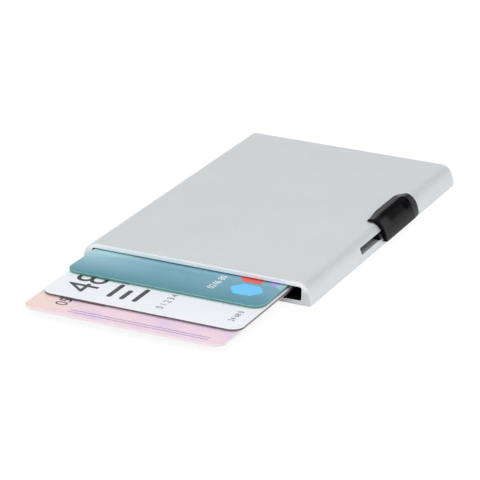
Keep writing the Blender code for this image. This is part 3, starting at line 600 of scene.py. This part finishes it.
finish_piece(grow_piece("plug_screws", tree, screw_sizes), steel, "case", "spring_steel",
             "plug_screw_left", "plug_screw_right")

# Rear plug: one moulding in black ABS, pushed into the rear end and held by the two screws. Its
# spark-eroded mould leaves a fine even matt grain, drawn several times too coarse so that it shows.
ABS_DARK = "#08080A"
ABS_LIGHT = "#101013"
ABS_GRAIN = 0.00022
ABS_GRAIN_DETAIL = 3.0
ABS_DEPTH = 0.000015
ABS_BUMP = 0.5
ABS_ROUGHNESS = (0.16, 0.22)
ABS_IOR = 1.45
ABS_SHEEN = 0.08

abs_black, tree, shader, places = start_material("matt_black_abs")
grain = grained_finish(tree, shader, places, ABS_GRAIN, (ABS_DARK, ABS_LIGHT), ABS_ROUGHNESS,
                       ABS_GRAIN_DETAIL)[0]
sparked = add_node(tree, "ShaderNodeBump", {"Height": grain, "Distance": ABS_DEPTH,
                                            "Strength": ABS_BUMP})
tree.links.new(sparked.outputs[0], shader.inputs["Normal"])
shader.inputs["IOR"].default_value = ABS_IOR
shader.inputs["Specular IOR Level"].default_value = ABS_SHEEN


def dress_node(name, material):
    """Give a CAD node its finish, where its own shape is right."""
    for material_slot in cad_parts[name].material_slots:
        material_slot.material = material


dress_node("rear_plug", abs_black)

# Lane guide, pusher arm and stepped pusher: smooth mouldings in black acetal, which slides dry on
# aluminium. It is a little glossier than the ABS and faintly mottled by the flow in the mould.
ACETAL_DARK = "#0F0F10"
ACETAL_LIGHT = "#17171A"
ACETAL_FLOW = 0.004
ACETAL_ROUGHNESS = (0.28, 0.36)
ACETAL_IOR = 1.48

acetal, tree, shader, places = start_material("smooth_black_acetal")
grained_finish(tree, shader, places, ACETAL_FLOW, (ACETAL_DARK, ACETAL_LIGHT), ACETAL_ROUGHNESS)
shader.inputs["IOR"].default_value = ACETAL_IOR
for acetal_node in ("lane_guide", "pusher_arm", "stepped_pusher"):
    dress_node(acetal_node, acetal)

# Card spring, friction leaf and lap pins: strip and wire of the same spring steel as the screws.
# They lie inside the case, where little of them is ever seen.
for steel_node in ("card_spring", "friction_leaf", "lap_pin_front", "lap_pin_rear"):
    dress_node(steel_node, steel)

# Thumb grip: a C-shaped shell in black ABS that hugs the bowed side, with a soft finger hollow, a
# bevelled rear rim and rounded edges. Its neck runs in the slot, and two pegs join it to the arm.
GRIP_CLEARANCE = 0.0002
GRIP_FLANGE = 0.0020
GRIP_FLANGE_CUT = 0.0008
GRIP_FOOT = 0.0011
GRIP_LIP = 0.00045
GRIP_CROWN = 0.00095
GRIP_SIDE = 0.0009
GRIP_HOLLOW = 0.0005
GRIP_REAR_BEVEL = 0.0038
GRIP_REAR_DROP = 0.00030
GRIP_REAR_CORNER = 0.0034
GRIP_FOOT_CORNER = 0.0010
GRIP_FOOT_RISE_SHARE = 0.5
CROWN_END_SHARE = 0.42
SIDE_START_SHARE = 0.50
SIDE_RUN_SHARE = 0.40
HOLLOW_MIDDLE_SHARE = 0.50
HOLLOW_SPREAD_SHARE = 0.21
FLANGE_CUT_SHARE = 0.35
HOLLOW_RISE_SHARE = 0.40
HOLLOW_LEAD_SHARE = 0.10
HOLLOW_END_SHARE = 0.86
HOLLOW_FALL_SHARE = 0.18
GRIP_EDGE_ROUND = 0.00028
GRIP_PATH_STEPS = 60
GRIP_LENGTH_STEPS = 72
NECK_LENGTH = 0.0193
NECK_LEAD = 0.0025
NECK_CLEARANCE = 0.0002
NECK_BITE = 0.00025

grip_low, grip_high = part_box("thumb_grip")
SHELL_FRONT = grip_low.y + NECK_LEAD
GRIP_LENGTH = grip_high.y - SHELL_FRONT
BOW_HEIGHT = CASE_HEIGHT - SIDE_BOW_FOOT
BOW_LENGTH = math.pi / 2 * math.sqrt((SIDE_BOW ** 2 + BOW_HEIGHT ** 2) / 2)


def grip_path(distance):
    """Point and outward direction on the case's side, by distance from where its top ends."""
    if distance <= 0:
        return (HALF_WIDTH - SIDE_BOW + distance, CASE_HEIGHT), (0.0, 1.0)
    if distance >= BOW_LENGTH:
        return (HALF_WIDTH, SIDE_BOW_FOOT - (distance - BOW_LENGTH)), (1.0, 0.0)
    angle = math.pi / 2 * (1 - distance / BOW_LENGTH)
    point = (HALF_WIDTH - SIDE_BOW + SIDE_BOW * math.cos(angle),
             SIDE_BOW_FOOT + BOW_HEIGHT * math.sin(angle))
    normal = Vector((math.cos(angle) * BOW_HEIGHT, math.sin(angle) * SIDE_BOW)).normalized()
    return point, (normal.x, normal.y)


def ease(value):
    """Rise smoothly from 0 to 1."""
    value = min(max(value, 0.0), 1.0)
    return value * value * (3 - 2 * value)


def corner_inset(distance, radius):
    """How far a border draws in at a round corner, by distance from the end."""
    if distance >= radius:
        return 0.0
    return radius - math.sqrt(radius ** 2 - (radius - distance) ** 2)


def grip_stations(length, steps):
    """Distances along a length, closer together over the rounded edge at each end."""
    ends = [depth for depth, _ in rounding(GRIP_EDGE_ROUND, CORNER_STEPS)]
    inner = length - 2 * GRIP_EDGE_ROUND
    middle = [GRIP_EDGE_ROUND + inner * index / steps for index in range(1, steps)]
    return ends + middle + [length - depth for depth in reversed(ends)]


def edge_drop(distance, length):
    """How far the outer face falls away over the rounded edge at either end."""
    return corner_inset(min(distance, length - distance), GRIP_EDGE_ROUND)


def grip_wall(path_share, length_share):
    """The shell's wall: thin lip on the top, full crown, a finger hollow and a rear bevel."""
    crown = GRIP_LIP + (GRIP_CROWN - GRIP_LIP) * ease(path_share / CROWN_END_SHARE)
    down_side = ease((path_share - SIDE_START_SHARE) / SIDE_RUN_SHARE)
    wall = crown + (GRIP_SIDE - GRIP_CROWN) * down_side
    across = math.exp(-((path_share - HOLLOW_MIDDLE_SHARE) / HOLLOW_SPREAD_SHARE) ** 2)
    along = (ease((length_share + HOLLOW_LEAD_SHARE) / HOLLOW_RISE_SHARE)
             * ease((HOLLOW_END_SHARE - length_share) / HOLLOW_FALL_SHARE))
    bevel_share = GRIP_REAR_BEVEL / GRIP_LENGTH
    rear_drop = GRIP_REAR_DROP * max(0.0, 1 - (1 - length_share) / bevel_share)
    return wall - GRIP_HOLLOW * across * along - rear_drop


foot_rise = (GRIP_FOOT - SIDE_BOW_FOOT) / BOW_HEIGHT
foot_end = BOW_LENGTH * (1 - 2 * math.asin(foot_rise) / math.pi)
grip_rings = []
for along in grip_stations(GRIP_LENGTH, GRIP_LENGTH_STEPS):
    length_share = along / GRIP_LENGTH
    flange_cut = GRIP_FLANGE_CUT * (1 - ease(length_share / FLANGE_CUT_SHARE))
    top_border = -GRIP_FLANGE + flange_cut + corner_inset(GRIP_LENGTH - along, GRIP_REAR_CORNER)
    nearest_end = min(along, GRIP_LENGTH - along)
    foot_border = foot_end - corner_inset(nearest_end, GRIP_FOOT_CORNER) * GRIP_FOOT_RISE_SHARE
    width = foot_border - top_border
    inner = []
    outer = []
    for distance in grip_stations(width, GRIP_PATH_STEPS):
        point, normal = grip_path(top_border + distance)
        path_share = (top_border + distance + GRIP_FLANGE) / (foot_end + GRIP_FLANGE)
        drop = max(edge_drop(distance, width), edge_drop(along, GRIP_LENGTH))
        reach = GRIP_CLEARANCE + grip_wall(path_share, length_share) - drop
        inner.append((point[0] + normal[0] * GRIP_CLEARANCE, SHELL_FRONT + along,
                      point[1] + normal[1] * GRIP_CLEARANCE))
        outer.append((point[0] + normal[0] * reach, SHELL_FRONT + along,
                      point[1] + normal[1] * reach))
    grip_rings.append(outer + list(reversed(inner)))
grip = add_mesh("grip_shell", skin(grip_rings))

neck_middle = CASE_HEIGHT / 2 + SLOT_RISE
neck_low = neck_middle - SLOT_HEIGHT / 2 + NECK_CLEARANCE
neck_high = neck_middle + SLOT_HEIGHT / 2 - NECK_CLEARANCE
neck_root = GRIP_CLEARANCE + NECK_BITE
arm_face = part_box("pusher_arm")[1].x
neck_section = ((arm_face, neck_low), (side_reach(neck_low) + neck_root, neck_low),
                (side_reach(neck_high) + neck_root, neck_high), (arm_face, neck_high))
neck_rings = [[(across, along, up) for across, up in neck_section]
              for along in (grip_low.y, grip_low.y + NECK_LENGTH)]
combine(grip, skin(neck_rings), "UNION")
finish_piece(grip, abs_black, "thumb_slide_body", "black_abs", "thumb_grip")

# Cards: three bank-size cards of laminated PVC sheet, one above the other and fanned out. Each is
# punched from the sheet, so its edge shows the core between two thin printed skins; on the white
# card the middle of the edge is simply painted dark grey.
CARD_CORNER = 0.00318
CARD_EDGE = 0.00005
CARD_EDGE_STEPS = 3
CARD_CORNER_STEPS = 20
CARD_SKIN = 0.00007
CARD_FILM = 0.00020
CARD_WAVINESS = 0.009
CARD_WAVE_DEPTH = 0.000004
CARD_WAVE_BUMP = 0.5
CARD_ROUGHNESS = (0.26, 0.32)
CARD_IOR = 1.46
MAGNETIC_STRIPE = "#241C1A"
STRIPE_START = 0.0055
STRIPE_WIDTH = 0.0127


def card_ring(low, high, inset, height):
    """A card's outline with round corners, drawn in by an inset, at a height."""
    outline = rounded_rectangle((low.x + CARD_CORNER, low.y + CARD_CORNER),
                                (high.x - CARD_CORNER, high.y - CARD_CORNER),
                                CARD_CORNER - inset, CARD_CORNER_STEPS)
    return [(across, along, height) for across, along in outline]


def add_card(node, material, body, slot):
    """A punched card with its edges just broken, in place of a CAD card."""
    low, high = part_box(node)
    edge = rounding(CARD_EDGE, CARD_EDGE_STEPS)
    rings = [card_ring(low, high, inset, low.z + rise) for rise, inset in edge]
    rings += [card_ring(low, high, inset, high.z - rise) for rise, inset in reversed(edge)]
    finish_piece(add_mesh(f"{node}_sheet", skin(rings)), material, body, slot, node)


def card_laminate(name, node, edge_top, edge_middle, back, stripe, paint):
    """Laminated PVC: clear glossy film over a printed face, which shows as a line round the top of
    the edge over the edge's middle tone, and a plain back with a magnetic stripe where the card has
    one. The white card's edge middle is painted dark grey, and the teal card's film line holds a
    painted highlight."""
    material, tree, shader, places = start_material(name)
    low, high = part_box(node)
    on_card = add_node(tree, "ShaderNodeMapping", {"Vector": places, "Location": -low})
    axes = add_node(tree, "ShaderNodeSeparateXYZ", {0: on_card})
    across, along, up = axes.outputs
    thickness = high.z - low.z
    in_face = add_node(tree, "ShaderNodeMath", {0: up, 1: thickness - CARD_SKIN},
                       operation="GREATER_THAN")
    in_edge_top = add_node(tree, "ShaderNodeMath", {0: up, 1: thickness - CARD_FILM},
                       operation="GREATER_THAN")
    in_back = add_node(tree, "ShaderNodeMath", {0: up, 1: CARD_SKIN}, operation="LESS_THAN")
    past_start = add_node(tree, "ShaderNodeMath", {0: across, 1: STRIPE_START},
                          operation="GREATER_THAN")
    before_stop = add_node(tree, "ShaderNodeMath", {0: across, 1: STRIPE_START + STRIPE_WIDTH},
                           operation="LESS_THAN")
    on_stripe = add_node(tree, "ShaderNodeMath", {0: past_start, 1: before_stop},
                         operation="MULTIPLY")
    striped_back = add_node(tree, "ShaderNodeMix", {0: on_stripe, 6: linear(back),
                                                    7: linear(stripe)}, data_type="RGBA")
    printed = paint(tree, on_card, across, along)
    colour = linear(edge_middle)
    for share, next_colour in ((in_edge_top, linear(edge_top)), (in_back, striped_back.outputs[2]),
                               (in_face, printed)):
        layer = add_node(tree, "ShaderNodeMix", {0: share, 6: colour, 7: next_colour},
                         data_type="RGBA")
        colour = layer.outputs[2]
    tree.links.new(colour, shader.inputs["Base Color"])
    wave = add_node(tree, "ShaderNodeTexNoise", {"Vector": places, "Scale": 1 / CARD_WAVINESS,
                                                 "Detail": 0.0})
    dullness = add_node(tree, "ShaderNodeMapRange",
                        {0: wave, 1: GRAIN_FLOOR, 2: GRAIN_CEILING,
                         3: CARD_ROUGHNESS[0], 4: CARD_ROUGHNESS[1]})
    tree.links.new(dullness.outputs[0], shader.inputs["Roughness"])
    ripple = add_node(tree, "ShaderNodeBump", {"Height": wave, "Distance": CARD_WAVE_DEPTH,
                                               "Strength": CARD_WAVE_BUMP})
    tree.links.new(ripple.outputs[0], shader.inputs["Normal"])
    shader.inputs["IOR"].default_value = CARD_IOR
    return material


# Print on the cards: opaque screen ink, a hundredth of a millimetre thick and slightly uneven in
# tone. It dries satin, so the figures look duller than the film around them.
INK_THICKNESS = 0.000012
INK_LIFT = 0.000002
INK_WELD = INK_THICKNESS / 10
INK_MOTTLE = 0.0012
INK_TONE_SHARE = 0.88
INK_ROUGHNESS = 0.38


def ink(name, hex_code):
    """Screen ink: flat colour with a faint mottle and a satin surface."""
    material, tree, shader, places = start_material(name)
    full = linear(hex_code)
    thin = [part * INK_TONE_SHARE for part in full[:3]] + [1.0]
    mottle = add_node(tree, "ShaderNodeTexNoise", {"Vector": places, "Scale": 1 / INK_MOTTLE})
    cover = add_node(tree, "ShaderNodeMapRange", {0: mottle, 1: GRAIN_FLOOR, 2: GRAIN_CEILING})
    tone = add_node(tree, "ShaderNodeMix", {0: cover, 6: thin, 7: full}, data_type="RGBA")
    tree.links.new(tone.outputs[2], shader.inputs["Base Color"])
    shader.inputs["Roughness"].default_value = INK_ROUGHNESS
    return material


def print_shape(name, node, outline, material, body, slot):
    """A flat patch of ink on a card, from points measured from the card's front left corner."""
    low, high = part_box(node)
    heights = (high.z + INK_LIFT, high.z + INK_LIFT + INK_THICKNESS)
    rings = [[(low.x + across, low.y + along, height) for across, along in outline]
             for height in heights]
    finish_piece(add_mesh(name, skin(rings)), material, body, slot)


def print_number(name, node, digits, place, height, material, body, slot):
    """Plain digits that read along the card, from front to back."""
    low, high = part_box(node)
    text = bpy.data.curves.new(name, "FONT")
    text.body = digits
    text.size = height
    text.extrude = INK_THICKNESS / 2
    writer = bpy.data.objects.new("writer", text)
    scene.collection.objects.link(writer)
    depsgraph = bpy.context.evaluated_depsgraph_get()
    mesh = bpy.data.meshes.new_from_object(writer.evaluated_get(depsgraph))
    bpy.data.objects.remove(writer)
    spot = Vector((low.x + place[0], low.y + place[1], high.z + INK_LIFT + INK_THICKNESS / 2))
    mesh.transform(Matrix.Translation(spot) @ Matrix.Rotation(math.pi / 2, 4, "Z"))
    shape = bmesh.new()
    shape.from_mesh(mesh)
    bmesh.ops.remove_doubles(shape, verts=shape.verts, dist=INK_WELD)
    finish_piece(add_mesh(name, shape), material, body, slot)


def rounded_bar(start, stop, width):
    """The outline of a bar with round ends between two points."""
    start, stop = Vector(start), Vector(stop)
    heading = math.degrees(math.atan2(stop.y - start.y, stop.x - start.x))
    radii = (width / 2, width / 2)
    return (arc(stop, radii, heading - 90, heading + 90, CORNER_STEPS)
            + arc(start, radii, heading + 90, heading + 270, CORNER_STEPS))


# Bottom card: pale rose print that turns peach on the left, with lilac clouds, a plain number and
# two fine wavy security lines. A node tree draws the lines as ribbons of ink.
ROSE = "#F0D5E1"
PEACH = "#F1D7D0"
LILAC = "#DCC9E6"
ROSE_FILM = "#EADCE1"
ROSE_CORE = "#ECDFE4"
ROSE_BACK = "#F1DDDD"
PEACH_END = 0.002
ROSE_START = 0.020
CLOUD_SIZE = 0.011
CLOUD_FLOOR = 0.42
CLOUD_CEILING = 0.62
CLOUD_SHARE = 0.8
LILAC_INK = "#A594B6"
GREY_INK = "#45454A"
WAVE_COUNT = 2
WAVE_STEPS = 160
WAVE_PITCH = 0.0012
WAVE_WIDTH = 0.00034
WAVE_HEIGHT = 0.00010
WAVE_LENGTH = 0.0021
WAVE_START = Vector((0.0120, 0.0020))
WAVE_SPAN = 0.0378
ROSE_NUMBER_PLACE = (0.0098, 0.0046)
ROSE_NUMBER_HEIGHT = 0.0046


def paint_rose(tree, places, across, along):
    """Peach to rose across the card, with soft lilac clouds over the rose."""
    side = add_node(tree, "ShaderNodeMapRange", {0: across, 1: PEACH_END, 2: ROSE_START})
    ground = add_node(tree, "ShaderNodeMix", {0: side, 6: linear(PEACH),
                                              7: linear(ROSE)}, data_type="RGBA")
    billow = add_node(tree, "ShaderNodeTexNoise", {"Vector": places, "Scale": 1 / CLOUD_SIZE})
    cloud = add_node(tree, "ShaderNodeMapRange", {0: billow, 1: CLOUD_FLOOR, 2: CLOUD_CEILING,
                                                  4: CLOUD_SHARE})
    masked = add_node(tree, "ShaderNodeMath", {0: cloud, 1: side}, operation="MULTIPLY")
    clouded = add_node(tree, "ShaderNodeMix", {0: masked, 6: ground.outputs[2],
                                               7: linear(LILAC)}, data_type="RGBA")
    return clouded.outputs[2]


rose = card_laminate("rose_printed_pvc", "card_bottom", ROSE_FILM, ROSE_CORE, ROSE_BACK,
                     ROSE_BACK, paint_rose)
add_card("card_bottom", rose, "lower_card", "rose_card")
lilac_ink = ink("lilac_security_ink", LILAC_INK)
rose_low, rose_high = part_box("card_bottom")
wave_sizes = {
    "Start Across": rose_low.x + WAVE_START.x, "Start Along": rose_low.y + WAVE_START.y,
    "Level": rose_high.z + INK_LIFT + INK_THICKNESS / 2, "Span": WAVE_SPAN, "Pitch": WAVE_PITCH,
    "Ribbon Width": WAVE_WIDTH, "Ribbon Thickness": INK_THICKNESS, "Wave Height": WAVE_HEIGHT,
    "Wave Length": WAVE_LENGTH,
}
tree, size = start_geometry("security_waves", wave_sizes)
origin = add_node(tree, "ShaderNodeCombineXYZ", {0: size["Start Across"], 1: size["Start Along"],
                                                 2: size["Level"]})
step = add_node(tree, "ShaderNodeCombineXYZ", {1: size["Pitch"]})
starts = add_node(tree, "GeometryNodeMeshLine", {"Count": WAVE_COUNT, "Start Location": origin,
                                                 "Offset": step})
line_end = add_node(tree, "ShaderNodeCombineXYZ", {0: size["Span"]})
line = add_node(tree, "GeometryNodeCurvePrimitiveLine", {"End": line_end})
fine_line = add_node(tree, "GeometryNodeResampleCurve", {"Curve": line, "Count": WAVE_STEPS})
copies = add_node(tree, "GeometryNodeInstanceOnPoints", {"Points": starts, "Instance": fine_line})
real_lines = add_node(tree, "GeometryNodeRealizeInstances", {0: copies})
position = add_node(tree, "ShaderNodeSeparateXYZ",
                    {0: add_node(tree, "GeometryNodeInputPosition")}).outputs
turns = add_node(tree, "ShaderNodeMath", {0: position[0], 1: size["Wave Length"]},
                 operation="DIVIDE")
lag = add_node(tree, "ShaderNodeMath", {0: position[1], 1: size["Pitch"]}, operation="DIVIDE")
angle = add_node(tree, "ShaderNodeMath", {0: turns, 1: math.tau, 2: lag},
                 operation="MULTIPLY_ADD")
sway = add_node(tree, "ShaderNodeMath", {0: angle}, operation="SINE")
shift = add_node(tree, "ShaderNodeMath", {0: sway, 1: size["Wave Height"]}, operation="MULTIPLY")
offset = add_node(tree, "ShaderNodeCombineXYZ", {1: shift})
waves = add_node(tree, "GeometryNodeSetPosition", {"Geometry": real_lines, "Offset": offset})
ribbon = add_node(tree, "GeometryNodeCurvePrimitiveQuadrilateral",
                  {"Width": size["Ribbon Width"], "Height": size["Ribbon Thickness"]})
ribbons = add_node(tree, "GeometryNodeCurveToMesh", {"Curve": waves, "Profile Curve": ribbon,
                                                     "Fill Caps": True})
end_geometry(tree, ribbons, lilac_ink)
finish_piece(grow_piece("rose_card_waves", tree, wave_sizes), lilac_ink, "lower_card",
             "rose_card")
grey_ink = ink("dark_grey_screen_ink", GREY_INK)
print_number("rose_card_number", "card_bottom", "05", ROSE_NUMBER_PLACE, ROSE_NUMBER_HEIGHT,
             grey_ink, "lower_card", "rose_card")

# Middle card: plain white print with a bold dark grey number and bars, and two rows of small
# figures. The middle of its edge is painted dark grey, which shows as a dark line along the edge.
WHITE = "#ECEFF4"
WHITE_COOL = "#EAEFF7"
WHITE_COOL_END = 0.030
WHITE_FILM = "#F4F5F8"
# The middle of the edge is painted dark grey; it shows as a dark line along the edge.
WHITE_EDGE_DARK = "#5E5558"
WHITE_BACK = "#EEF0F3"
WHITE_NUMBER_PLACE = (0.0120, 0.0040)
WHITE_NUMBER_HEIGHT = 0.0120
BAR_WIDTH = 0.0013
BAR_ENDS = (((0.0165, 0.0050), (0.0165, 0.0125)), ((0.0200, 0.0050), (0.0200, 0.0100)),
            ((0.0235, 0.0050), (0.0235, 0.0125)))
# Each row of small figures: its digits, its place and its height.
WHITE_ROWS = {
    "white_card_row": ("0 1 2 3 4", (0.0318, 0.0035), 0.0027),
    "white_card_small_row": ("24 68 0", (0.0505, 0.0045), 0.0022),
}


def paint_white(tree, places, across, along):
    """White ground that is a touch cooler towards the mouth."""
    cool = add_node(tree, "ShaderNodeMapRange", {0: along, 2: WHITE_COOL_END})
    ground = add_node(tree, "ShaderNodeMix", {0: cool, 6: linear(WHITE),
                                              7: linear(WHITE_COOL)}, data_type="RGBA")
    return ground.outputs[2]


white = card_laminate("white_printed_pvc", "card_middle", WHITE_FILM, WHITE_EDGE_DARK, WHITE_BACK,
                      MAGNETIC_STRIPE, paint_white)
add_card("card_middle", white, "middle_card", "white_card")
print_number("white_card_number", "card_middle", "48", WHITE_NUMBER_PLACE, WHITE_NUMBER_HEIGHT,
             grey_ink, "middle_card", "white_card")
for index, (bar_start, bar_stop) in enumerate(BAR_ENDS):
    print_shape(f"white_card_bar_{index + 1}", "card_middle",
                rounded_bar(bar_start, bar_stop, BAR_WIDTH), grey_ink, "middle_card", "white_card")
for name, (digits, place, height) in WHITE_ROWS.items():
    print_number(name, "card_middle", digits, place, height, grey_ink, "middle_card",
                 "white_card")

# Top card: teal print, greener towards its front edge, with two broad paler arcs and a row of small
# white figures. A light-blue hexagon stands beside a coral wedge and a small violet diamond.
TEAL = "#6FA2B4"
TEAL_FADED = "#92BECC"
TEAL_FADE_END = 0.022
TEAL_FRONT = "#4C8C97"
TEAL_FRONT_END = 0.010
TEAL_PALE = "#A6CFD3"
# The film line along the top of the edge is pale: the clear film, with a painted highlight on the
# rounded edge.
TEAL_FILM_HIGHLIGHT = "#97CABE"
TEAL_CORE = "#4A7F7C"
TEAL_BACK = "#E6EEEC"
# Each pale arc: the middle of its circle on the card, and its radius.
PALE_ARCS = (((-0.004, 0.034, 0.0), 0.024), ((0.066, 0.028, 0.0), 0.020))
PALE_ARC_WIDTH = 0.010
PALE_ARC_SHARE = 0.45
BLUE_INK = "#68CAFF"
CORAL_INK = "#E2574F"
VIOLET_INK = "#A892E6"
WHITE_INK = "#EDF5F4"
HEXAGON_MIDDLE = (0.0462, 0.0088)
HEXAGON_RADII = (0.0045, 0.0040)
WEDGE = ((0.0395, 0.0190), (0.0430, 0.0135), (0.0478, 0.0135), (0.0478, 0.0190))
DIAMOND = ((0.0495, 0.0160), (0.0515, 0.0134), (0.0520, 0.0160), (0.0515, 0.0186))
TEAL_ROW_PLACE = (0.0385, 0.0055)
TEAL_ROW_HEIGHT = 0.0028


def paint_teal(tree, places, across, along):
    """Teal that fades from the left and turns greener at the front, with two broad pale arcs."""
    fade = add_node(tree, "ShaderNodeMapRange", {0: across, 2: TEAL_FADE_END})
    faded = add_node(tree, "ShaderNodeMix", {0: fade, 6: linear(TEAL_FADED),
                                             7: linear(TEAL)}, data_type="RGBA")
    front = add_node(tree, "ShaderNodeMapRange", {0: along, 2: TEAL_FRONT_END})
    ground = add_node(tree, "ShaderNodeMix", {0: front, 6: linear(TEAL_FRONT),
                                              7: faded.outputs[2]}, data_type="RGBA")
    for middle, radius in PALE_ARCS:
        away = add_node(tree, "ShaderNodeVectorMath", {0: places, 1: middle},
                        operation="DISTANCE")
        inside = add_node(tree, "ShaderNodeMapRange",
                          {0: away.outputs["Value"], 1: radius - PALE_ARC_WIDTH, 2: radius,
                           3: 1.0, 4: PALE_ARC_SHARE})
        rim = add_node(tree, "ShaderNodeMath", {0: away.outputs["Value"], 1: radius},
                       operation="LESS_THAN")
        share = add_node(tree, "ShaderNodeMath", {0: inside, 1: rim}, operation="MULTIPLY")
        ground = add_node(tree, "ShaderNodeMix", {0: share, 6: ground.outputs[2],
                                                  7: linear(TEAL_PALE)}, data_type="RGBA")
    return ground.outputs[2]


teal = card_laminate("teal_printed_pvc", "card_top", TEAL_FILM_HIGHLIGHT, TEAL_CORE, TEAL_BACK,
                     MAGNETIC_STRIPE, paint_teal)
add_card("card_top", teal, "upper_card", "teal_card")
blue_ink = ink("light_blue_screen_ink", BLUE_INK)
coral_ink = ink("coral_screen_ink", CORAL_INK)
violet_ink = ink("violet_screen_ink", VIOLET_INK)
white_ink = ink("white_screen_ink", WHITE_INK)
# Five steps of 60 degrees give the hexagon's six corners.
hexagon = arc(HEXAGON_MIDDLE, HEXAGON_RADII, 0, 300, 5)
print_shape("teal_card_hexagon", "card_top", hexagon, blue_ink, "upper_card", "teal_card")
print_shape("teal_card_wedge", "card_top", WEDGE, coral_ink, "upper_card", "teal_card")
print_shape("teal_card_diamond", "card_top", DIAMOND, violet_ink, "upper_card", "teal_card")
print_number("teal_card_row", "card_top", "0246 80", TEAL_ROW_PLACE, TEAL_ROW_HEIGHT, white_ink,
             "upper_card", "teal_card")
